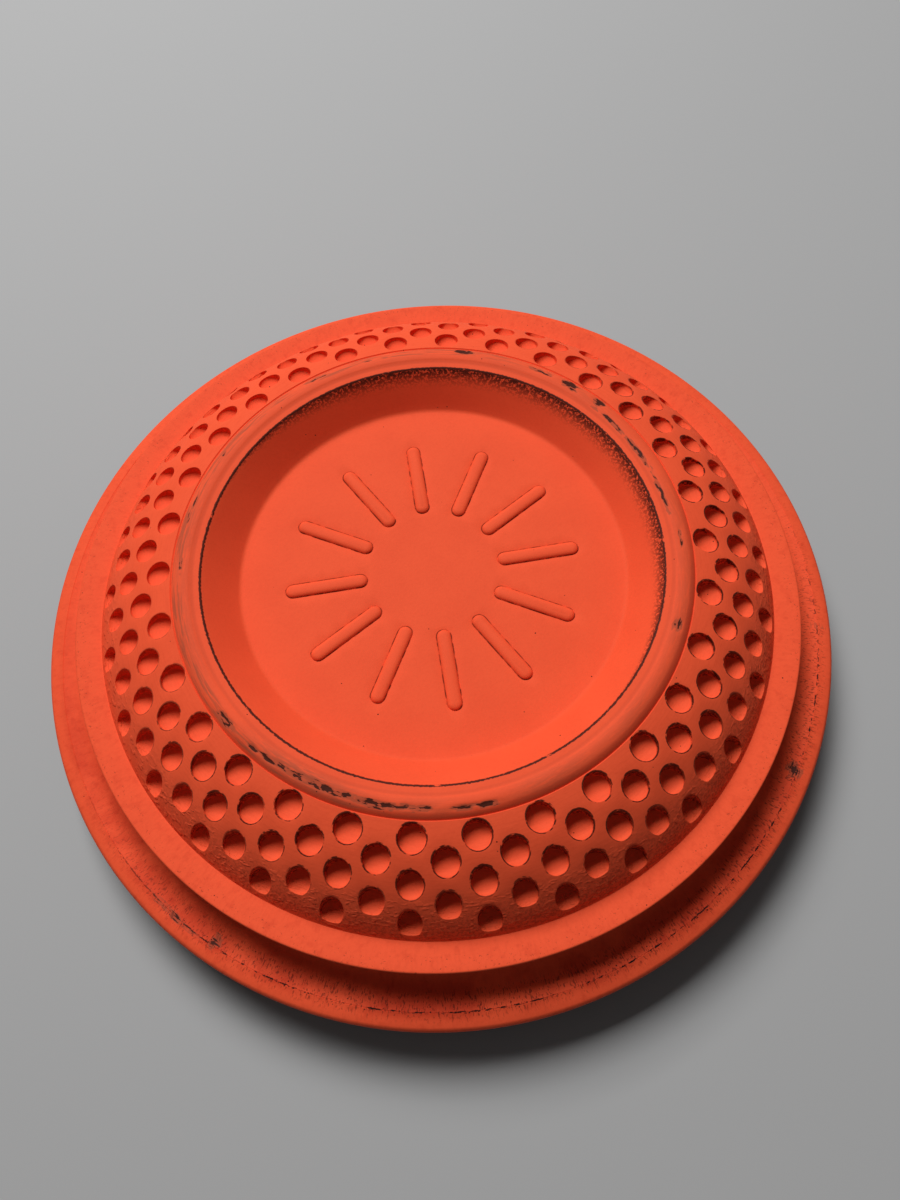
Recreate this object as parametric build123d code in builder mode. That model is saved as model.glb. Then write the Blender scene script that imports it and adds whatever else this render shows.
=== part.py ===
from build123d import *
from math import hypot
import os

os.makedirs("parts", exist_ok=True)

# A clay shooting target: one brittle disc pressed from pitch and limestone, resting on its base.
# Z is its axis, the base lies on Z = 0, and a dimple of the first row points along -Y.
# Radii are stepped inwards from the rim, and heights are stepped up from the base.

# Throwing rim, and the land on top of it
rim_diameter = 109.5  # across the widest line of the rim
rim_edge_height = 8.0  # widest line, above the base
nose_half_height = 0.9  # rounded nose, above and below the widest line
nose_depth = 0.55  # how far the nose stands out from its corners
land_width = 1.55  # land between the nose and the crease
land_rise = 0.2

# Concave flange that climbs from the crease to the neck, and the shoulder ledge above it
flange_width = 6.2  # edge of the rim to edge of the ledge
neck_undercut = 0.55  # neck, inside the edge of the ledge
neck_height = 2.4  # top of the flange, above the widest line
flange_sag = 0.75  # hollow of the sweep, below its chord
shoulder_rise = 6.95  # edge of the ledge, above the widest line
shoulder_lip = 0.8  # upright face below the edge of the ledge
ledge_width = 3.4
ledge_fall = 0.4  # drop of the ledge towards the dome

# Dome, and its dimples
dome_run = 12.0  # plan width, ledge to bead
dome_rise = 8.7
dome_radius = 18.6
dimple_rows = 5
dimples_in_row = 30
dimple_top_width = 3.3  # in the row next to the bead
dimple_foot_width = 2.9  # in the row next to the ledge
dimple_top_depth = 1.3  # floor, below the middle of the mouth
dimple_foot_depth = 1.75
top_gap = 0.17  # bare strip of dome, bead to first row
foot_gap = 1.5  # bare strip of dome, last row to ledge

# Low rounded bead, level lip and sunk centre
bead_width = 2.9
bead_height = 0.5  # crest, above the line between its two feet
bead_step = 0.45  # outer foot of the bead, below the inner one
lip_width = 1.0
lip_fall = 0.1
recess_wall_run = 3.95
recess_depth = 4.6
recess_bend = 0.7  # flat that eases the wall into the floor

# Underside: a ring to rest on, and a hollow that a stacked target nests in
underside_run = 5.8  # edge of the rim to edge of the base ring
base_ring_width = 3.2
dome_wall = 3.3
recess_wall = 3.0
centre_wall = 3.0

# Small round stretches are turned as narrow flats, and each dimple is a pit with flat sides
nose_sides = 2
flange_sides = 2
bead_sides = 4
hollow_sides = 2
dimple_sides = 8

# Plan radii, from the rim to the centre
rim_radius = rim_diameter / 2
nose_radius = rim_radius - nose_depth
crease_radius = nose_radius - land_width
ledge_radius = rim_radius - flange_width
neck_radius = ledge_radius - neck_undercut
dome_foot_radius = ledge_radius - ledge_width
bead_foot_radius = dome_foot_radius - dome_run
groove_radius = bead_foot_radius - bead_width
lip_radius = groove_radius - lip_width
pad_radius = lip_radius - recess_wall_run
base_outer_radius = rim_radius - underside_run
base_inner_radius = base_outer_radius - base_ring_width

# Heights, from the base to the crown
nose_top_height = rim_edge_height + nose_half_height
ledge_height = rim_edge_height + shoulder_rise
dome_foot_height = ledge_height - ledge_fall
bead_foot_height = dome_foot_height + dome_rise
groove_height = bead_foot_height + bead_step
lip_height = groove_height - lip_fall
pad_height = lip_height - recess_depth
boss_height = pad_height - centre_wall


def bowed(start, end, bow):
    """An arc from start to end that bows to the left of its chord."""
    chord = Vector(*end) - Vector(*start)
    middle = Vector(*start) + chord / 2 + chord.rotate(Axis.Z, 90).normalized() * bow
    return ThreePointArc(start, middle, end, mode=Mode.PRIVATE)


def flats(arc, count):
    """The points where an arc is broken into equal flats."""
    return [arc @ (step / count) for step in range(count + 1)]


def behind_recess(height):
    """Radius, at a height, one wall thickness behind the sloping wall of the sunk centre."""
    level_wall = recess_wall * hypot(recess_wall_run, recess_depth) / recess_depth
    return pad_radius + level_wall + (height - pad_height) * recess_wall_run / recess_depth


# Half section of the outer form, as radius and height where it turns
base_edge = (base_outer_radius, 0)
nose_bottom = (nose_radius, rim_edge_height - nose_half_height)
nose_tip = (rim_radius, rim_edge_height)
nose_top = (nose_radius, nose_top_height)
crease = (crease_radius, nose_top_height + land_rise)
neck_foot = (neck_radius, rim_edge_height + neck_height)
neck_top = (ledge_radius, ledge_height - shoulder_lip)
ledge_edge = (ledge_radius, ledge_height)
dome_foot = (dome_foot_radius, dome_foot_height)
bead_foot = (bead_foot_radius, bead_foot_height)
groove = (groove_radius, groove_height)
lip = (lip_radius, lip_height)
pad_edge = (pad_radius, pad_height)

nose = ThreePointArc(nose_bottom, nose_tip, nose_top, mode=Mode.PRIVATE)
sweep_up = bowed(crease, neck_foot, flange_sag)
bead = bowed(bead_foot, groove, -bead_height)

with BuildPart() as clay_target:
    with BuildSketch(Plane.XZ) as outer_section:
        with BuildLine():
            Polyline((0, 0), base_edge, nose_bottom)
            Polyline(flats(nose, nose_sides))
            Line(nose_top, crease)
            Polyline(flats(sweep_up, flange_sides))
            Polyline(neck_foot, neck_top, ledge_edge, dome_foot)
            dome = RadiusArc(dome_foot, bead_foot, -dome_radius)
            Polyline(flats(bead, bead_sides))
            Polyline(groove, lip, pad_edge, (0, pad_height), (0, 0))
        make_face()
        chamfer(outer_section.vertices().sort_by_distance(pad_edge)[0], recess_bend)
    revolve(axis=Axis.Z)

    # The hollow keeps one wall inside the dome and round the sunk centre
    shrink = (dome_radius - dome_wall) / dome_radius
    centre = dome.arc_center
    hollow_dome = [centre + (point - centre) * shrink for point in flats(dome, hollow_sides)]
    hollow_top = hollow_dome[-1].Y
    roof_corner = (behind_recess(hollow_top), hollow_top)
    boss_corner = (behind_recess(boss_height), boss_height)
    with BuildSketch(Plane.XZ) as hollow_section:
        with BuildLine():
            Polyline((0, 0), (base_inner_radius, 0), hollow_dome[0])
            Polyline(hollow_dome)
            Polyline(hollow_dome[-1], roof_corner, boss_corner, (0, boss_height), (0, 0))
        make_face()
    revolve(axis=Axis.Z, mode=Mode.SUBTRACT)

    # Dimples, drawn straight up out of the mould, each row half a pitch round from the row above
    pitch = 360 / dimples_in_row
    first = dome.length - top_gap - dimple_top_width / 2
    last = foot_gap + dimple_foot_width / 2
    for row in range(dimple_rows):
        down = row / (dimple_rows - 1)
        mouth = dome @ ((first + (last - first) * down) / dome.length)
        width = dimple_top_width + (dimple_foot_width - dimple_top_width) * down
        depth = dimple_top_depth + (dimple_foot_depth - dimple_top_depth) * down
        with BuildSketch(Plane.XY.offset(mouth.Y - depth)):
            with PolarLocations(mouth.X, dimples_in_row, start_angle=pitch * (row % 2) / 2 - 90):
                RegularPolygon(width / 2, dimple_sides, major_radius=False, rotation=180 / dimple_sides)
        extrude(amount=dome_rise, mode=Mode.SUBTRACT)

clay_target.part.label = "clay_target"
export_step(clay_target.part, "parts/clay_target.step")
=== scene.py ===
from math import asin, atan2, copysign, cos, degrees, hypot, radians, sin, sqrt, tau

import bmesh
import bpy
from mathutils import Matrix, Vector, noise
from mathutils.geometry import delaunay_2d_cdt


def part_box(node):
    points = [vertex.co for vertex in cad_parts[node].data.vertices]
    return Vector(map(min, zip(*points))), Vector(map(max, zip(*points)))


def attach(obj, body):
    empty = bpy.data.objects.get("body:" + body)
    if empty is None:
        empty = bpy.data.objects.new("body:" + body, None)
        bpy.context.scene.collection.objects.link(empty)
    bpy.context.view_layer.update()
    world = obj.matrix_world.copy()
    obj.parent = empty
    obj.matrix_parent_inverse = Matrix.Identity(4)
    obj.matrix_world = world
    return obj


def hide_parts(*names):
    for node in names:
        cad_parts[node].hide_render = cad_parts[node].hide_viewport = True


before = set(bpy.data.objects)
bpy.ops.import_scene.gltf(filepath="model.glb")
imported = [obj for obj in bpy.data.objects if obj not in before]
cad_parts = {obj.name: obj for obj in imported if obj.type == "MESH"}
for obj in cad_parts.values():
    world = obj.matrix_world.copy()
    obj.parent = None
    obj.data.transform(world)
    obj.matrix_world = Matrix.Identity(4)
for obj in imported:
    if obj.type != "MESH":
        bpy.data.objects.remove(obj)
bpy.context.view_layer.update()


# ---- Turned form ---------------------------------------------------------------------------------
# The target is one brittle disc, pressed hot in a closed mould from pitch and ground limestone.
# Both halves of the mould were turned, so nearly all of the form is an outline swept round the
# axis. The sizes step inwards from the throwing rim, as on the disc's own drawing.
mm = 0.001
_, target_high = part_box("clay_target")
rim_radius = target_high.x
rim_height = 8.0 * mm  # widest line of the rim

nose_half_height = 0.9 * mm
nose_depth = 0.55 * mm
land_width = 1.55 * mm
land_rise = 0.2 * mm
crease_depth = 0.07 * mm  # line scored between the land and the flange
flange_width = 6.2 * mm
neck_undercut = 0.55 * mm
neck_height = 2.4 * mm
flange_sag = 0.75 * mm  # hollow of the sweep, below its chord
shoulder_rise = 6.95 * mm
shoulder_lip = 0.8 * mm  # upright face below the edge of the ledge
ledge_width = 3.4 * mm
ledge_fall = 0.4 * mm

dome_run = 12.0 * mm
dome_rise = 8.7 * mm
dome_round = 18.6 * mm
bead_width = 2.9 * mm
bead_height = 0.5 * mm
bead_step = 0.45 * mm  # outer foot of the bead, below the inner one
bead_cut = 0.14 * mm  # nick that parts the bead from the dome
lip_width = 1.0 * mm
lip_fall = 0.1 * mm
wall_run = 3.95 * mm
wall_drop = 4.6 * mm
bend = 0.4 * mm  # where the wall of the sunk centre eases into its pad
lip_ease = 0.12 * mm
groove_ease = 0.35 * mm
ledge_ease = 0.28 * mm
shoulder_ease = 0.2 * mm
neck_ease = 0.5 * mm

base_inset = 5.8 * mm
base_ring_width = 3.2 * mm
dome_wall = 3.3 * mm
centre_wall = 3.0 * mm
boss_radius = 26.7 * mm  # boss under the sunk centre
roof_radius = 30.1 * mm  # inner edge of the hollow's roof
base_ease = 0.4 * mm
hollow_ease = 0.6 * mm

ledge_radius = rim_radius - flange_width
ledge_height = rim_height + shoulder_rise
nose_radius = rim_radius - nose_depth
crease_radius = nose_radius - land_width
land_height = rim_height + nose_half_height
base_radius = rim_radius - base_inset

dome_foot = Vector((ledge_radius - ledge_width, ledge_height - ledge_fall))
bead_foot = dome_foot + Vector((-dome_run, dome_rise))
groove = bead_foot + Vector((-bead_width, bead_step))
lip = groove - Vector((lip_width, lip_fall))
pad_corner = lip - Vector((wall_run, wall_drop))
pad_edge = pad_corner - Vector((bend, 0))

half_chord = (bead_foot - dome_foot) / 2
dome_bow = dome_round - sqrt(dome_round ** 2 - half_chord.length_squared)
dome_centre = (dome_foot + bead_foot) / 2
dome_centre += half_chord.orthogonal().normalized() * (dome_round - dome_bow)

bead_crest = (groove.x + bead_foot.x) / 2

steps_round = 480  # the visible side has this many steps round the axis, the hidden one half
weld = 0.002 * mm  # vertices nearer than this become one


def bowed(start, end, bow, steps):
    """A round stretch that stands bow to the left of its chord.

    Its points go up to its end, and leave the end itself to what follows.
    """
    half = (end - start) / 2
    radius = (half.length_squared + bow ** 2) / (2 * abs(bow))
    left = half.orthogonal().normalized()
    centre = start + half + left * (bow - copysign(radius, bow))
    sweep = -copysign(2 * asin(half.length / radius), bow)
    turns = [Matrix.Rotation(sweep * step / steps, 2) for step in range(steps)]
    return [centre + turn @ (start - centre) for turn in turns]


def eased(corners, steps=4):
    """An outline through corners, as (radius, height, ease), each rounded from its ease away."""
    path = []
    for index, (radius, height, ease) in enumerate(corners):
        corner = Vector((radius, height))
        if not ease:
            path.append(corner)
            continue
        into = (Vector(corners[index - 1][:2]) - corner).normalized() * ease
        out = (Vector(corners[index + 1][:2]) - corner).normalized() * ease
        for step in range(steps + 1):
            along = step / steps
            path.append(corner + into * (1 - along) ** 2 + out * along ** 2)
    return path


def divided(path, longest):
    """The same outline, with its long runs divided so that the form can be worked finely."""
    fine = [path[0]]
    for end in path[1:]:
        start = fine[-1]
        cuts = int((end - start).length / longest) + 1
        fine += [start.lerp(end, cut / cuts) for cut in range(1, cuts + 1)]
    return fine


def plan(radius, angle):
    """A point in plan, with its angle counted from the dimple that points to the front."""
    return Vector((radius * sin(angle), -radius * cos(angle)))


def ring(form, point, steps):
    """The vertices where one point of an outline is swept round the axis."""
    angles = [tau * step / steps for step in range(steps)]
    return [form.verts.new((*plan(point.x, angle), point.y)) for angle in angles]


def swept(form, outline, steps):
    """Sweeps an outline round the axis and gives back its first and last rings."""
    first = last = ring(form, outline[0], steps)
    for point in outline[1:]:
        fresh = ring(form, point, steps)
        for step in range(steps):
            after = (step + 1) % steps
            form.faces.new((last[step], fresh[step], fresh[after], last[after]))
        last = fresh
    return first, last


turned = bmesh.new()

# Wall of the sunk centre, its lip, and the low rounded bead at the crown
cut = bead_foot - Vector((bead_cut, bead_cut))
bead = bowed(groove, cut, bead_height, steps=22)
groove_end = 3  # the groove's ease takes the place of the bead's first points, up to this one
crown = eased([
    (*pad_edge, 0),
    (*pad_corner, bend),
    (*lip, lip_ease),
    (*groove, groove_ease),
    (*bead[groove_end + 1], 0),
])[:-1]
crown += bead[groove_end:] + [cut, bead_foot]
swept(turned, divided(crown, longest=0.8 * mm), steps_round)

# Ledge, shoulder, neck, hollow flange, land and nose of the rim, and its cone down to the base
neck = Vector((ledge_radius - neck_undercut, rim_height + neck_height))
crease = Vector((crease_radius, land_height + land_rise))
nose_top = Vector((nose_radius, land_height))
nose_foot = Vector((nose_radius, rim_height - nose_half_height))
rim = eased([
    (*dome_foot, 0),
    (ledge_radius, ledge_height, ledge_ease),
    (ledge_radius, ledge_height - shoulder_lip, shoulder_ease),
    (*neck, neck_ease),
    (*neck.lerp(crease, 0.1), 0),
])[:-1]
flange = bowed(neck, crease, -flange_sag, steps=16)
rim += flange[2:-1]
rim.append(crease.lerp(flange[-1], 0.1))
rim.append(crease - Vector((0, crease_depth)))
rim.append(crease.lerp(nose_top, 0.06))
rim += bowed(nose_top, nose_foot, nose_depth, steps=10) + [nose_foot]
rim_last = swept(turned, divided(rim, longest=0.75 * mm), steps_round)[1]

# Underside: base ring, hollow that nests on the next target, and the boss under the sunk centre
shrink = (dome_round - dome_wall) / dome_round
hollow_foot = dome_centre + (dome_foot - dome_centre) * shrink
hollow_top = dome_centre + (bead_foot - dome_centre) * shrink
boss_height = pad_corner.y - centre_wall
under = eased([
    (*nose_foot.lerp(Vector((base_radius, 0)), 0.15), 0),
    (base_radius, 0, base_ease),
    (base_radius - base_ring_width, 0, base_ease),
    (*hollow_foot, 0),
], steps=3)[:-1]
under += bowed(hollow_foot, hollow_top, -dome_bow * shrink, steps=8)
under += eased([
    (*hollow_top, 0),
    (roof_radius, hollow_top.y, hollow_ease),
    (boss_radius, boss_height, hollow_ease),
    (boss_radius / 2, boss_height, 0),
], steps=3)
under_steps = steps_round // 2
under_first, under_last = swept(turned, divided(under, longest=2.4 * mm), under_steps)
for step, vertex in enumerate(under_first):
    after = under_first[(step + 1) % len(under_first)]
    left, middle, right = (rim_last[(2 * step + part) % steps_round] for part in range(3))
    turned.faces.new((left, vertex, middle))
    turned.faces.new((middle, vertex, after))
    turned.faces.new((middle, after, right))
boss_centre = turned.verts.new((0, 0, boss_height))
for step, vertex in enumerate(under_last):
    turned.faces.new((vertex, boss_centre, under_last[(step + 1) % len(under_last)]))


# ---- Dimples -------------------------------------------------------------------------------------
# Five rows of thirty dimples go round the dome. Round pins in the upper half of the mould press
# them straight down, so their walls stand upright and their floors are shallow bowls. On the
# steep foot of the dome a pin's floor runs out through the slope before its round is complete.
dimple_rows = 5
dimples_in_row = 30
dimple_top_width = 3.3 * mm
dimple_foot_width = 2.9 * mm
dimple_top_depth = 1.45 * mm  # middle of the bowl, below the dome at the pin's axis
dimple_foot_depth = 1.78 * mm
bowl_rise = 0.42 * mm  # edge of the bowl, above its middle
top_gap = 0.17 * mm  # bare dome between the bead and the first row
foot_gap = 1.5 * mm  # bare dome between the last row and the ledge
brow = 0.08 * mm  # worn round of the mouth's edge
spokes = 28  # vertices round one dimple


def dome_height(radius):
    """Height of the dome's skin at a radius."""
    return dome_centre.y + sqrt(dome_round ** 2 - (radius - dome_centre.x) ** 2)


def inside(point, loop):
    """Whether a point lies within a closed loop of points."""
    crossed = False
    for start, end in zip(loop, loop[1:] + loop[:1]):
        if (start.y > point.y) != (end.y > point.y):
            crossed ^= point.x < (
                start.x + (end.x - start.x) * (point.y - start.y) / (end.y - start.y))
    return crossed


def skin(border, holes, room, spacing):
    """Triangles that cover a border, in millimetres, and leave its holes open.

    Rows of points fill it, a spacing apart, but none nearer to the border than the room.
    """
    rims = [border, *holes]
    points = [point for loop in rims for point in loop]
    edges, first = [], 0
    for loop in rims:
        edges += [(first + step, first + (step + 1) % len(loop)) for step in range(len(loop))]
        first += len(loop)
    low = Vector((min(point.x for point in border), min(point.y for point in border)))
    high = Vector((max(point.x for point in border), max(point.y for point in border)))
    margin = Vector((spacing, spacing))
    rows = int((high.y - low.y) / spacing)
    columns = int((high.x - low.x) / spacing)
    for row in range(1, rows):
        for column in range(columns + 1):
            point = low + Vector((column + row % 2 / 2, row)) * spacing
            if min((point - edge).length for edge in points[:first]) <= room:
                continue
            if inside(point, border) and not any(inside(point, hole) for hole in holes):
                points.append(point)
    # Four points outside the border frame the triangles
    points += [low - margin, high + margin]
    points.append(Vector((low.x, high.y)) + Vector((-spacing, spacing)))
    points.append(Vector((high.x, low.y)) + Vector((spacing, -spacing)))
    covered, _, triangles = delaunay_2d_cdt(points, edges, [], 0, 1e-5)[:3]
    open_faces = []
    for face in triangles:
        middle = sum((covered[corner] for corner in face), Vector((0, 0))) / len(face)
        if inside(middle, border) and not any(inside(middle, hole) for hole in holes):
            open_faces.append(face)
    return covered, open_faces


def runs_to(floor, radius, angle, direction, width):
    """How far a pin's floor reaches one way to its wall, or to where it leaves the dome."""
    axis = plan(radius, angle)
    near, far = 0, width / 2
    if floor(far) < dome_height((axis + direction * far).length):
        return far
    for _ in range(30):  # the span is halved until nothing is left of it
        middle = (near + far) / 2
        if floor(middle) < dome_height((axis + direction * middle).length):
            near = middle
        else:
            far = middle
    return near


def dimple(form, radius, angle, width, depth):
    """Adds one dimple, and gives its outermost ring as (angle, radius) on the dome."""
    axis = plan(radius, angle)
    deepest = dome_height(radius) - depth

    def floor(reach):
        return deepest + bowl_rise * (2 * reach / width) ** 3

    rings = [[] for _ in range(7)]  # from the brow down to the middle, one for each station
    for spoke in range(spokes):
        direction = plan(1, tau * spoke / spokes)
        reach = runs_to(floor, radius, angle, direction, width)
        wall = max(dome_height((axis + direction * reach).length) - floor(reach), 0)
        outer = (axis + direction * (reach + brow)).length
        edge = (axis + direction * (reach + brow / 4)).length
        stations = (
            (reach + brow, dome_height(outer)),
            (reach + brow / 4, dome_height(edge) - brow / 6),
            (reach, floor(reach) + max(wall - brow, 0)),
            (reach * 0.985, floor(reach) + wall * 0.16),
            (reach * 0.93, floor(reach * 0.93)),
            (reach * 0.66, floor(reach * 0.66)),
            (reach * 0.33, floor(reach * 0.33)),
        )
        for loop, (out, height) in zip(rings, stations):
            loop.append(form.verts.new((*(axis + direction * out), height)))
    for loop, inner in zip(rings, rings[1:]):
        for spoke in range(spokes):
            after = (spoke + 1) % spokes
            form.faces.new((loop[spoke], loop[after], inner[after], inner[spoke]))
    bottom = form.verts.new((*axis, deepest))
    for spoke in range(spokes):
        form.faces.new((rings[-1][spoke], rings[-1][(spoke + 1) % spokes], bottom))
    mouth = [vertex.co for vertex in rings[0]]
    return [Vector((atan2(point.x, -point.y), point.xy.length)) for point in mouth]


# One dimple of every row stands in each sector, and the next sector takes up where it ends
sector = tau / dimples_in_row
sector_start = -sector / 4
middle_radius = (dome_foot.x + bead_foot.x) / 2
dome_length = dome_round * 2 * asin(half_chord.length / dome_round)  # along its skin
dimpled = bmesh.new()
mouths, dimple_plan = [], []
for row in range(dimple_rows):
    down = row / (dimple_rows - 1)
    first_at = dome_length - top_gap - dimple_top_width / 2
    last_at = foot_gap + dimple_foot_width / 2
    along = first_at + (last_at - first_at) * down
    swing = Matrix.Rotation(along / dome_round, 2)
    row_radius = (dome_centre + swing @ (dome_foot - dome_centre)).x
    row_width = dimple_top_width + (dimple_foot_width - dimple_top_width) * down
    row_depth = dimple_top_depth + (dimple_foot_depth - dimple_top_depth) * down
    mouths.append(dimple(dimpled, row_radius, sector / 2 * (row % 2), row_width, row_depth))
    dimple_plan.append((row_radius, row % 2 / 2, row_width))

flat = Vector((middle_radius / mm, 1 / mm))  # unrolls angle and radius into millimetres
sector_steps = steps_round // dimples_in_row
side_steps = 15  # up each side of the sector
border = []
for step in range(sector_steps):
    border.append((sector_start + sector * step / sector_steps, dome_foot.x))
for step in range(side_steps):
    border.append((sector_start + sector, dome_foot.x - dome_run * step / side_steps))
for step in range(sector_steps):
    border.append((sector_start + sector * (1 - step / sector_steps), bead_foot.x))
for step in range(side_steps):
    border.append((sector_start, bead_foot.x + dome_run * step / side_steps))
covered, faces = skin(
    [Vector(point) * flat for point in border],
    [[point * flat for point in mouth] for mouth in mouths],
    room=0.45, spacing=0.8)
vertices = []
for point in covered:
    angle, radius = point.x / flat.x, point.y / flat.y
    vertices.append(dimpled.verts.new((*plan(radius, angle), dome_height(radius))))
for face in faces:
    dimpled.faces.new([vertices[corner] for corner in reversed(face)])
dimpled_mesh = bpy.data.meshes.new("dimple_sector")
bmesh.ops.remove_doubles(dimpled, verts=dimpled.verts, dist=weld)
dimpled.to_mesh(dimpled_mesh)
dimple_sector = bpy.data.objects.new("dimple_sector", dimpled_mesh)


# ---- Pad and its bars ----------------------------------------------------------------------------
# The floor of the sunk centre is a flat pad. The mould presses twelve plain bars on it, rounded
# on top and at both ends, with a fine line where each rises from the pad.
bars = 12
bar_inner = 8.6 * mm
bar_outer = 19.4 * mm
bar_width = 1.9 * mm
bar_height = 0.42 * mm
foot_line = 0.05 * mm  # depth of the line round a bar's foot
foot_reach = 0.12 * mm  # half its width
end_steps = 8  # round each end of a bar
bar_steps = 9  # along each of its sides


def bar_outline(inset):
    """The outline of the bar that points to the front, drawn in by an inset."""
    reach = bar_width / 2 - inset
    near, far = bar_inner + bar_width / 2, bar_outer - bar_width / 2
    outline = []
    for step in range(end_steps + 1):
        outline.append(plan(far, 0) + plan(reach, tau / 2 * (step / end_steps - 0.5)))
    for step in range(1, bar_steps):
        outline.append(plan(far + (near - far) * step / bar_steps, 0) + Vector((reach, 0)))
    for step in range(end_steps + 1):
        outline.append(plan(near, 0) + plan(reach, tau / 2 * (step / end_steps + 0.5)))
    for step in range(1, bar_steps):
        outline.append(plan(near + (far - near) * step / bar_steps, 0) - Vector((reach, 0)))
    return outline


bar_sector = tau / bars
pad_steps = steps_round // bars
pad_side_steps = 18
padded = bmesh.new()
border = [plan(pad_edge.x, bar_sector * (step / pad_steps - 0.5)) for step in range(pad_steps)]
for step in range(pad_side_steps):
    border.append(plan(pad_edge.x * (1 - step / pad_side_steps), bar_sector / 2))
for step in range(pad_side_steps):
    border.append(plan(pad_edge.x * step / pad_side_steps, -bar_sector / 2))
covered, faces = skin(
    [point / mm for point in border],
    [[point / mm for point in bar_outline(-foot_reach)]],
    room=0.5, spacing=1.3)
vertices = [padded.verts.new((*(point * mm), pad_edge.y)) for point in covered]
for face in faces:
    padded.faces.new([vertices[corner] for corner in face])
levels = (  # inset from the bar's outline, and rise above the pad
    (-foot_reach, 0),
    (0, -foot_line),
    (foot_reach, 0.45 * bar_height),
    (0.34 * mm, 0.82 * bar_height),
    (0.64 * mm, bar_height),
)
loops = []
for inset, rise in levels:
    loops.append([padded.verts.new((*point, pad_edge.y + rise)) for point in bar_outline(inset)])
for loop, inner in zip(loops, loops[1:]):
    for step in range(len(loop)):
        after = (step + 1) % len(loop)
        padded.faces.new((loop[step], loop[after], inner[after], inner[step]))
padded.faces.new(loops[-1])
pad_mesh = bpy.data.meshes.new("pad_sector")
bmesh.ops.remove_doubles(padded, verts=padded.verts, dist=weld)
padded.to_mesh(pad_mesh)
pad_sector = bpy.data.objects.new("pad_sector", pad_mesh)


# ---- Sprayed orange, and the pitch under it ------------------------------------------------------
# Each target is sprayed from above with matt fluorescent orange. The film thins out on upright
# walls, wears off the bead and rim in handling, and leaves the underside bare dark pitch.
orange = (0.94, 0.107, 0.038, 1)
deep_orange = (0.62, 0.047, 0.017, 1)
# Colour of bare pitch, also used to paint shade in the groove, the dimples, round the bars and on
# the dome's foot
pitch_and_painted_shade = (0.024, 0.008, 0.006, 1)
rubbed = (0.34, 0.080, 0.040, 1)

paint = bpy.data.materials.new("sprayed_orange")
paint.use_nodes = True
nodes, links = paint.node_tree.nodes, paint.node_tree.links
surface = nodes["Principled BSDF"]


def give(socket, value):
    """Sets a socket, or links it where the value comes from another node."""
    if isinstance(value, bpy.types.NodeSocket):
        links.new(value, socket)
    else:
        socket.default_value = value


def sum_up(operation, first, second=0.0, clamp=False):
    """One sum on one or two values."""
    node = nodes.new("ShaderNodeMath")
    node.operation, node.use_clamp = operation, clamp
    give(node.inputs[0], first)
    give(node.inputs[1], second)
    return node.outputs[0]


def ramp(value, start, end):
    """Rises smoothly from 0 at start to 1 at end, and falls where start is the greater."""
    node = nodes.new("ShaderNodeMapRange")
    node.interpolation_type = "SMOOTHSTEP"
    backwards = start > end
    settings = (
        ("Value", value), ("From Min", min(start, end)), ("From Max", max(start, end)),
        ("To Min", float(backwards)), ("To Max", float(not backwards)))
    for name, setting in settings:
        give(node.inputs[name], setting)
    return node.outputs[0]


def band(value, middle, half_width, soft):
    """1 inside a band of the value, falling softly to 0 outside."""
    away = sum_up("ABSOLUTE", sum_up("SUBTRACT", value, middle))
    return ramp(away, half_width + soft, half_width)


def carried(operation, values):
    """One operation carried along all the values, from the first on."""
    result = values[0]
    for value in values[1:]:
        result = sum_up(operation, result, value)
    return result


def times(*values):
    """All the values multiplied."""
    return carried("MULTIPLY", values)


def plus(*values):
    """All the values added."""
    return carried("ADD", values)


def most(*values):
    """The greatest of the values."""
    return carried("MAXIMUM", values)


def less(first, second):
    """The first value with the second taken away."""
    return sum_up("SUBTRACT", first, second)


def grain(vector, size, detail=2.0, rough=0.55):
    """Soft noise whose grains are about a size across."""
    node = nodes.new("ShaderNodeTexNoise")
    give(node.inputs["Vector"], vector)
    give(node.inputs["Scale"], 1 / size)
    give(node.inputs["Detail"], detail)
    give(node.inputs["Roughness"], rough)
    return node.outputs["Fac"]


def dots(vector, size, share, radius):
    """Round dots scattered in a share of the cells of a size. Their radius is a part of a cell."""
    node = nodes.new("ShaderNodeTexVoronoi")
    give(node.inputs["Vector"], vector)
    give(node.inputs["Scale"], 1 / size)
    kept = nodes.new("ShaderNodeSeparateColor")
    links.new(node.outputs["Color"], kept.inputs[0])
    near = ramp(node.outputs["Distance"], radius, radius * 0.6)
    return times(near, ramp(kept.outputs[0], share, share - 0.01))


def blend(amount, first, second):
    """The first colour where the amount is 0, and the second where it is 1."""
    node = nodes.new("ShaderNodeMix")
    node.data_type = "RGBA"
    give(node.inputs["Factor"], amount)
    give(node.inputs[6], first)
    give(node.inputs[7], second)
    return node.outputs[2]


def merged(x, y, z):
    """Three values as one vector."""
    node = nodes.new("ShaderNodeCombineXYZ")
    for socket, value in zip(node.inputs, (x, y, z)):
        give(socket, value)
    return node.outputs[0]


def mark(name):
    """A mark that the shell carries from its pressing and wear."""
    node = nodes.new("ShaderNodeAttribute")
    node.attribute_name = name
    return node.outputs["Fac"]


# Where a point of the skin lies, and how level it faces
place = nodes.new("ShaderNodeTexCoord")
where = place.outputs["Object"]
split = nodes.new("ShaderNodeSeparateXYZ")
links.new(where, split.inputs[0])
x, y, height = split.outputs
radius = sum_up("SQRT", plus(times(x, x), times(y, y)))
facing = nodes.new("ShaderNodeSeparateXYZ")
links.new(place.outputs["Normal"], facing.inputs[0])
level = facing.outputs[2]
safe_radius = most(radius, 0.1 * mm)  # never 0, as it divides
east, north = sum_up("DIVIDE", x, safe_radius), sum_up("DIVIDE", y, safe_radius)
grain_ring = 40 * mm  # drawn-out grains have their stated sizes on a ring of this radius


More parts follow.
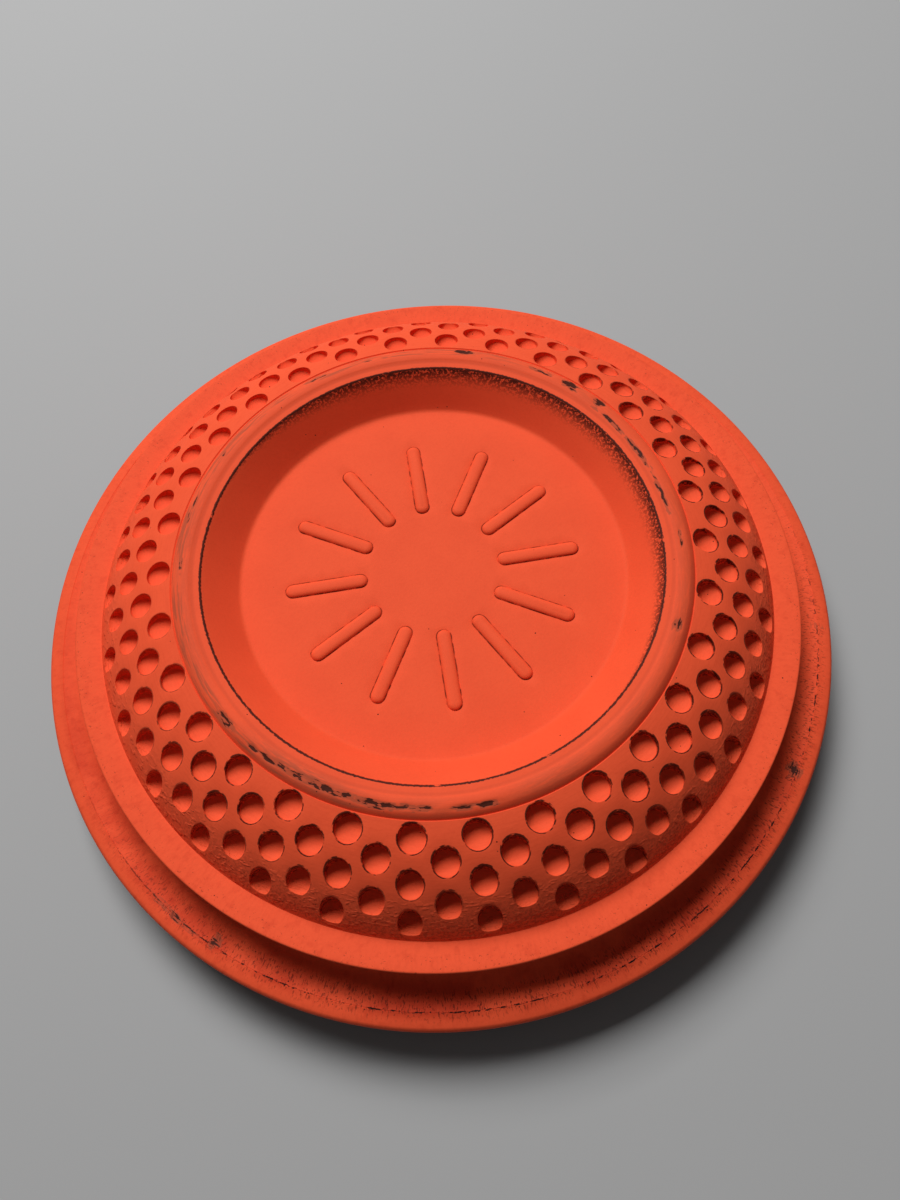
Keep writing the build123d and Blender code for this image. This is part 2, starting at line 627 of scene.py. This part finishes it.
def drawn_grain(around, outward, detail=2.0):
    """Noise whose grains have one size round the axis and another outward from it."""
    stretch = grain_ring / around
    vector = merged(times(east, stretch), times(north, stretch), times(radius, 1 / outward))
    return grain(vector, 1.0, detail)


# Grains that several marks share, and the places that bound them
mottle = grain(where, 6 * mm, 3.0)
fine = grain(where, 0.35 * mm, 3.0, 0.6)
coarse = grain(where, 1.1 * mm, 2.0)
specks = grain(where, 0.34 * mm, 2.0, 0.65)
streaks = drawn_grain(2.4 * mm, 0.16 * mm, 3.0)
rays = drawn_grain(0.34 * mm, 1.3 * mm, 3.0)
on_dome = band(radius, middle_radius, dome_run / 2 - 0.3 * mm, 0.3 * mm)
outside = ramp(radius, dome_foot.x, dome_foot.x + 0.2 * mm)
low_dome = times(on_dome, ramp(radius, dome_foot.x - 5 * mm, dome_foot.x - 1 * mm))
in_front = ramp(less(times(east, 0.25), north), -0.1, 0.75)

# The film is gone along the lip, and starved under it, most of all away from the front
ragged = plus(radius, times(less(fine, 0.5), 0.3 * mm))
lip_gap = times(
    band(ragged, lip.x, 0.11 * mm, 0.06 * mm), 0.92,
    ramp(drawn_grain(1.6 * mm, 0.5 * mm), 0.26, 0.36))
# Painted shade: a soft dark line along the groove between the lip and the bead
groove_painted_shade = times(band(radius, groove.x, 0.05 * mm, 0.3 * mm), 0.12)
below_lip = less(lip.y, height)
away_from_front = ramp(plus(times(north, 0.5), times(east, 0.42)), -0.2, 0.5)
starved = plus(times(away_from_front, 2.0 * mm), 0.3 * mm)
spray_edge = times(
    band(radius, (lip.x + pad_corner.x) / 2, wall_run / 2 - 0.15 * mm, 0.05 * mm),
    ramp(sum_up("DIVIDE", below_lip, starved), 1.0, 0.0))
lip_specks = times(
    spray_edge, ramp(plus(specks, times(spray_edge, 0.1)), 0.42, 0.62),
    plus(times(away_from_front, 0.3), 0.65))

# In front, the film is broken along the crease, and specks stray from it onto the flange
crease_line = times(
    band(ragged, crease_radius, 0.05 * mm, 0.08 * mm), in_front,
    ramp(drawn_grain(0.7 * mm, 0.5 * mm, 3.0), 0.50, 0.58))
crease_dots = times(
    band(radius, crease_radius - 0.1 * mm, 0.4 * mm, 0.4 * mm), in_front,
    dots(where, 0.45 * mm, share=0.26, radius=0.24))
flange_specks = times(
    band(radius, crease_radius - 0.7 * mm, 0.8 * mm, 1.4 * mm), in_front,
    ramp(drawn_grain(0.16 * mm, 0.5 * mm, 3.0), 0.53, 0.66), 0.6)

# The film is thin on the upright walls of the dimples, and ragged along the edges of their mouths.
# The walls' dark specks also paint shade in the dimples, most in front.
upright = ramp(level, 0.42, 0.2)
# Bare specks on the dimples' walls, with painted shade that is darkest in the dimples in front
pit_wall_specks_and_shade = times(
    on_dome, upright, ramp(grain(where, 0.4 * mm, 2.0, 0.7), 0.42, 0.58),
    plus(times(in_front, 0.55), 0.15))
dimples_round = times(sum_up("ARCTAN2", x, times(y, -1)), 1 / sector)
edge = 1.0  # becomes the distance from the edge of the nearest dimple, in plan
for row_radius, shift, row_width in dimple_plan:
    aside = sum_up("FRACT", plus(dimples_round, dimples_in_row + 0.5 - shift))
    aside = times(less(aside, 0.5), radius, sector)
    along = less(radius, row_radius)
    reach = sum_up("SQRT", plus(times(aside, aside), times(along, along)))
    edge = sum_up("MINIMUM", edge, less(reach, row_width / 2))
edge = plus(edge, times(less(fine, 0.5), 0.16 * mm))
thin_side = ramp(less(times(east, 0.6), north), -0.9, 0.3)
pit_edges = times(
    band(edge, 0.05 * mm, 0.055 * mm, 0.05 * mm), thin_side, ramp(coarse, 0.38, 0.50),
    ramp(radius, dome_foot.x - 1 * mm, bead_foot.x + 5.5 * mm), 0.9)

# Pinholes all over, and specks near the edge of the ledge
pinholes = most(
    dots(where, 1.9 * mm, share=0.10, radius=0.055),
    dots(where, 0.9 * mm, share=0.05, radius=0.09))
ledge_dots = times(
    band(radius, ledge_radius - 0.9 * mm, 0.7 * mm, 0.6 * mm),
    ramp(grain(where, 0.3 * mm, 2.0, 0.7), 0.62, 0.72), 0.4)

# Chips show the pitch, and the film round them and along the bead is rubbed brown
chip_at = mark("chipped")
flecks = less(drawn_grain(1.7 * mm, 0.3 * mm, 3.0), 0.5)
chipped = times(
    ramp(plus(chip_at, times(flecks, 2.8)), 0.66, 0.80),
    ramp(chip_at, 0.1, 0.3), 0.9)
chalky = times(
    ramp(plus(chip_at, times(flecks, 1.2)), 0.2, 0.45),
    ramp(chip_at, 0.02, 0.15), 0.65)
handled = times(
    band(radius, bead_crest + 0.4 * mm, 0.5 * mm, 0.5 * mm),
    ramp(less(times(north, 0.5), east), -0.7, 0.3),
    ramp(drawn_grain(5 * mm, 0.3 * mm, 3.0), 0.40, 0.66), 0.7)
scuffed = times(mark("scuffed"), ramp(drawn_grain(2.4 * mm, 0.25 * mm, 3.0), 0.22, 0.62))
# Bare pitch and painted shade in the fine line round each bar's foot, where it rises from the pad
bar_foot_lines_and_shade = times(mark("bar_foot"), ramp(coarse, 0.3, 0.65), 0.9)

# The underside is bare but for overspray near the rim, and the overhung neck has specks
overhung = ramp(level, 0.05, -0.25)
outer_skin = ramp(radius, neck.x - 1.2 * mm, neck.x - 0.6 * mm)
above_rim = times(outer_skin, ramp(height, rim_height, rim_height + 1.5 * mm))
underside = times(overhung, less(1.0, above_rim))
neck_specks = times(overhung, above_rim, ramp(specks, 0.50, 0.62), 0.4)
overspray = times(
    underside, outer_skin, ramp(height, rim_height - 3 * mm, rim_height),
    ramp(specks, 0.42, 0.52))

# All that shows dark pitch: bare film, and painted shade in the groove, on the dimples' walls,
# round the bars' feet and, speckled, on the foot of the dome in front
bare_and_painted_shade = most(
    lip_gap, groove_painted_shade, lip_specks, crease_line, crease_dots, pit_wall_specks_and_shade, pit_edges, pinholes,
    ledge_dots, flange_specks, neck_specks, chipped, bar_foot_lines_and_shade)
# Painted shade: specks of pitch darken the foot of the dome in front, which faces away from the
# light
dome_foot_painted_shade = times(low_dome, in_front, ramp(edge, 0.0, 0.1 * mm), ramp(fine, 0.42, 0.62), 0.3)
bare_and_painted_shade = most(bare_and_painted_shade, dome_foot_painted_shade)
bare_and_painted_shade = sum_up("ADD", bare_and_painted_shade, less(underside, overspray), clamp=True)

# Colour of the film: mottled all over, streaked round the dome and across the ledge and flange
# Darker, mottled tone on the flange in front and to the left, between the shoulder and the crease
flange_darkening = times(
    band(radius, crease_radius - 1.4 * mm, 1.2 * mm, 1.6 * mm),
    ramp(less(times(east, -0.3), north), 0.0, 0.7), ramp(mottle, 0.3, 0.6), 0.55)
# Painted shade: the outer side of the bead is darker in front, where it faces away from the light
bead_side_painted_shade = times(
    band(radius, bead_foot.x - 0.45 * mm, 0.25 * mm, 0.35 * mm), in_front, 0.5)
tone = plus(
    times(ramp(mottle, 0.35, 0.7), 0.1),
    times(ramp(fine, 0.4, 0.75), 0.1),
    times(on_dome, ramp(streaks, 0.42, 0.68), 0.12),
    times(outside, ramp(rays, 0.45, 0.75), 0.16),
    times(outside, ramp(coarse, 0.50, 0.72), 0.22))
tone = sum_up("ADD", tone, plus(flange_darkening, bead_side_painted_shade), clamp=True)
film = blend(tone, orange, deep_orange)
film = blend(most(scuffed, chalky, handled), film, rubbed)
colour = blend(bare_and_painted_shade, film, pitch_and_painted_shade)
give(surface.inputs["Base Color"], colour)
give(surface.inputs["Roughness"], plus(0.68, times(bare_and_painted_shade, -0.08)))
surface.inputs["Specular IOR Level"].default_value = 0.09

# Relief of the film's grain and streaks, and of a sandy foot to the dome
sandy = times(low_dome, ramp(drawn_grain(0.9 * mm, 0.35 * mm, 1.0), 0.54, 0.66))
relief = plus(
    times(fine, 0.5), times(grain(where, 0.14 * mm), 0.3), times(on_dome, streaks, 0.14),
    times(sandy, 3.0), times(outside, rays, 0.25))
relief = less(relief, times(bare_and_painted_shade, 0.7))
bump = nodes.new("ShaderNodeBump")
bump.inputs["Strength"].default_value = 0.55
bump.inputs["Distance"].default_value = 0.06 * mm
give(bump.inputs["Height"], relief)
links.new(bump.outputs[0], surface.inputs["Normal"])


# ---- Pressing and wear ---------------------------------------------------------------------------
# The sectors of dimples and bars are set round the axis and welded to the turned form, as one
# shell of brittle pitch. It then takes the knocks of handling, which are chips along the bead and
# the rim. Its pad is not quite flat.
scene = bpy.context.scene
turned_mesh = bpy.data.meshes.new("turned_form")
turned.to_mesh(turned_mesh)
blank = bpy.data.objects.new("turned_form", turned_mesh)
for part in (blank, dimple_sector, pad_sector):
    scene.collection.objects.link(part)

press = bpy.data.node_groups.new("set_round_the_axis", "GeometryNodeTree")
inputs = (
    ("Turned form", "NodeSocketGeometry"),
    ("Dimple sector", "NodeSocketObject"), ("Dimple sectors", "NodeSocketInt"),
    ("Pad sector", "NodeSocketObject"), ("Pad sectors", "NodeSocketInt"),
    ("Weld distance", "NodeSocketFloat"), ("Finish", "NodeSocketMaterial"))
sockets = {}
for name, kind in inputs:
    sockets[name] = press.interface.new_socket(name, in_out="INPUT", socket_type=kind)
press.interface.new_socket("Target", in_out="OUTPUT", socket_type="NodeSocketGeometry")
given = press.nodes.new("NodeGroupInput").outputs
joined = press.nodes.new("GeometryNodeJoinGeometry")
press.links.new(given["Turned form"], joined.inputs[0])
for part, count in (("Dimple sector", "Dimple sectors"), ("Pad sector", "Pad sectors")):
    fetched = press.nodes.new("GeometryNodeObjectInfo")
    press.links.new(given[part], fetched.inputs["Object"])
    places = press.nodes.new("GeometryNodeMeshLine")
    press.links.new(given[count], places.inputs["Count"])
    places.inputs["Offset"].default_value = (0, 0, 0)
    turn = press.nodes.new("ShaderNodeMath")
    turn.operation = "DIVIDE"
    turn.inputs[0].default_value = tau
    press.links.new(given[count], turn.inputs[1])
    angle = press.nodes.new("ShaderNodeMath")
    angle.operation = "MULTIPLY"
    press.links.new(press.nodes.new("GeometryNodeInputIndex").outputs[0], angle.inputs[0])
    press.links.new(turn.outputs[0], angle.inputs[1])
    about_axis = press.nodes.new("ShaderNodeCombineXYZ")
    press.links.new(angle.outputs[0], about_axis.inputs["Z"])
    repeated = press.nodes.new("GeometryNodeInstanceOnPoints")
    press.links.new(places.outputs[0], repeated.inputs["Points"])
    press.links.new(fetched.outputs["Geometry"], repeated.inputs["Instance"])
    press.links.new(about_axis.outputs[0], repeated.inputs["Rotation"])
    press.links.new(repeated.outputs[0], joined.inputs[0])
real = press.nodes.new("GeometryNodeRealizeInstances")
welded = press.nodes.new("GeometryNodeMergeByDistance")
smooth = press.nodes.new("GeometryNodeSetShadeSmooth")
finish = press.nodes.new("GeometryNodeSetMaterial")
press.links.new(joined.outputs[0], real.inputs[0])
press.links.new(real.outputs[0], welded.inputs["Geometry"])
press.links.new(given["Weld distance"], welded.inputs["Distance"])
press.links.new(welded.outputs[0], smooth.inputs["Geometry"])
press.links.new(smooth.outputs[0], finish.inputs["Geometry"])
press.links.new(given["Finish"], finish.inputs["Material"])
press.links.new(finish.outputs[0], press.nodes.new("NodeGroupOutput").inputs[0])

pressing = blank.modifiers.new("pressing", "NODES")
pressing.node_group = press
settings = (
    ("Dimple sector", dimple_sector), ("Dimple sectors", dimples_in_row),
    ("Pad sector", pad_sector), ("Pad sectors", bars),
    ("Weld distance", weld), ("Finish", paint))
for name, value in settings:
    pressing[sockets[name].identifier] = value
bpy.context.view_layer.update()
pressed = blank.evaluated_get(bpy.context.evaluated_depsgraph_get())
target_mesh = bpy.data.meshes.new_from_object(pressed)
target_mesh.name = "clay_target_shell"
for part in (blank, dimple_sector, pad_sector):
    bpy.data.objects.remove(part)

# Knocks, as (angle from the front and half length in degrees, radius, half width, strength)
knocks = (
    (-174, 4, bead_crest + 0.2 * mm, 0.25 * mm, 1.2),
    (-158, 6, bead_crest + 0.4 * mm, 0.25 * mm, 1.1),
    (-127, 4, bead_crest + 0.2 * mm, 0.25 * mm, 1.2),
    (-112, 7, bead_crest + 0.4 * mm, 0.35 * mm, 0.9),
    (-97, 5, bead_crest, 0.3 * mm, 0.9),
    (-57, 4, bead_crest + 0.3 * mm, 0.4 * mm, 1.7),
    (-46, 5, bead_crest + 0.3 * mm, 0.22 * mm, 1.9),
    (-32, 15, bead_crest, 0.38 * mm, 1.65),
    (-17, 12, bead_crest + 0.1 * mm, 0.38 * mm, 1.6),
    (1, 7, bead_crest + 0.3 * mm, 0.3 * mm, 1.6),
    (62, 2, bead_crest - 0.3 * mm, 0.5 * mm, 2.0),
    (84, 3, bead_crest - 0.2 * mm, 0.25 * mm, 1.4),
    (96, 7, bead_crest - 0.9 * mm, 0.25 * mm, 1.5),
    (109, 8, bead_crest - 0.8 * mm, 0.3 * mm, 1.5),
    (120, 8, bead_crest - 0.8 * mm, 0.25 * mm, 1.6),
    (126, 2, bead_crest + 0.4 * mm, 0.6 * mm, 2.4),
    (134, 3, bead_crest + 0.3 * mm, 0.7 * mm, 2.6),
    (143, 4, bead_crest + 0.2 * mm, 0.35 * mm, 1.5),
    (163, 3, bead_crest + 0.5 * mm, 0.45 * mm, 2.2),
    (-46, 7, crease_radius, 0.3 * mm, 0.9),
    (-39.5, 0.9, crease_radius - 0.5 * mm, 0.8 * mm, 2.2),
    (53, 1.5, crease_radius - 0.4 * mm, 0.8 * mm, 1.8),
    (76, 0.8, crease_radius, 1.2 * mm, 0.8),
)
chip_depth = 0.13 * mm  # at a strength of 1 or more
scuff_width = 1.6 * mm  # half the width of the rubbed band along the bead
most_rubbed = -28  # degrees from the front to the middle of the most rubbed stretch
rubbed_reach = 75  # degrees from there to its ends
pad_waviness = 0.035 * mm
sharpest_smooth = radians(32)  # steeper edges stay sharp


def turned_from(turn, angle):
    """Degrees from an angle round to a turn, by the shorter way."""
    return (turn - angle + 180) % 360 - 180


def fade(distance, half):
    """1 at the middle, fading to 0 from the half width on."""
    away = min(abs(distance) / half, 1)
    return 1 - away * away * (3 - 2 * away)


chips, scuffs, feet, worked = [], [], [], []
bar_turn = degrees(bar_sector)
inward = [-vertex.normal for vertex in target_mesh.vertices]
for vertex, into in zip(target_mesh.vertices, inward):
    spot = vertex.co.copy()
    out = hypot(spot.x, spot.y)
    turn = degrees(atan2(spot.x, -spot.y))
    chip = 0
    if spot.z > rim_height:
        rough = noise.noise(spot / (0.9 * mm)) * 0.5 + noise.noise(spot / (0.4 * mm)) * 0.3
        for angle, half_length, middle, half_width, strength in knocks:
            away = turned_from(turn, angle)
            if abs(away) < half_length and abs(out - middle) < 2 * half_width:
                worn = fade(away, half_length) ** 0.5 * fade(out - middle, 2 * half_width)
                chip = max(chip, strength * worn * (0.55 + rough * 1.2))
    chips.append(max(chip, 0))
    swell = 0.55 + noise.noise(spot / (9 * mm)) * 0.9
    swell *= 0.35 + 0.65 * fade(turned_from(turn, most_rubbed), rubbed_reach)
    scuff = fade(out - bead_crest, scuff_width) ** 0.5 * swell if spot.z > bead_foot.y else 0
    scuffs.append(min(max(scuff, 0), 0.9))
    on_pad = out < pad_edge.x and spot.z > boss_height + centre_wall / 2
    away = (turn + bar_turn / 2) % bar_turn - bar_turn / 2
    aside, ahead = out * sin(radians(away)), out * cos(radians(away))
    near_end = min(max(ahead, bar_inner + bar_width / 2), bar_outer - bar_width / 2)
    from_edge = hypot(aside, ahead - near_end) - bar_width / 2
    feet.append(fade(from_edge, foot_reach) if on_pad else 0)
    spot += into * min(chips[-1], 1) * chip_depth
    if on_pad:
        wave = noise.noise(Vector((*spot.xy, 0)) / (8 * mm))
        spot.z += wave * pad_waviness * fade(out, pad_edge.x)
    worked.extend(spot)
target_mesh.vertices.foreach_set("co", worked)
target_mesh.update()
target_mesh.set_sharp_from_angle(angle=sharpest_smooth)
for name, values in (("chipped", chips), ("scuffed", scuffs), ("bar_foot", feet)):
    layer = target_mesh.attributes.new(name, "FLOAT", "POINT")
    layer.data.foreach_set("value", values)

target = bpy.data.objects.new("painted_clay_target", target_mesh)
scene.collection.objects.link(target)
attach(target, "root")
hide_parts("clay_target")


# ---- Table top -----------------------------------------------------------------------------------
# The target lies on a wide pale sheet, which is matt and laid flat.
# The sheet isn't part of the target.
floor_reach = 3.0
floor_mesh = bpy.data.meshes.new("table_top")
corners = [(-floor_reach, -floor_reach, 0), (floor_reach, -floor_reach, 0),
           (floor_reach, floor_reach, 0), (-floor_reach, floor_reach, 0)]
floor_mesh.from_pydata(corners, [], [(0, 1, 2, 3)])
table_top = bpy.data.objects.new("table_top", floor_mesh)
scene.collection.objects.link(table_top)
sheet = bpy.data.materials.new("pale_sheet")
sheet.use_nodes = True
sheet_surface = sheet.node_tree.nodes["Principled BSDF"]
sheet_surface.inputs["Base Color"].default_value = (0.42, 0.42, 0.42, 1)
sheet_surface.inputs["Roughness"].default_value = 0.7
sheet_surface.inputs["Specular IOR Level"].default_value = 0.2
floor_mesh.materials.append(sheet)


# ---- Light and camera ----------------------------------------------------------------------------
# A large soft box hangs behind the target, a little to the left, and the room fills the shade.
# The camera looks down on the target from the front, turned a little about its own line of sight.
lamp = bpy.data.lights.new("soft_box", "AREA")
lamp.shape = "SQUARE"
lamp.size = 0.35
lamp.energy = 5.6
soft_box = bpy.data.objects.new("soft_box", lamp)
soft_box.location = (-0.115, 0.40, 0.625)
soft_box.rotation_euler = (-soft_box.location).to_track_quat("-Z", "Y").to_euler()
scene.collection.objects.link(soft_box)

room = bpy.data.worlds.new("room")
room.use_nodes = True
room.node_tree.nodes["Background"].inputs["Color"].default_value = (1, 1, 1, 1)
room.node_tree.nodes["Background"].inputs["Strength"].default_value = 0.065
scene.world = room
scene.view_settings.view_transform = "Standard"

camera_data = bpy.data.cameras.new("camera")
camera_data.lens = 25.717
camera_data.sensor_width = 36
camera_data.clip_start = 0.005
camera = bpy.data.objects.new("camera", camera_data)
camera.location = Vector((-2.23, -49.81, 119.82)) * mm
aim = Vector((1.97, 0.26, 8.0)) * mm
look = (aim - camera.location).to_track_quat("-Z", "Y").to_matrix()
roll = Matrix.Rotation(radians(-4.56), 3, "Z")
camera.rotation_euler = (look @ roll).to_euler()
scene.collection.objects.link(camera)
scene.camera = camera
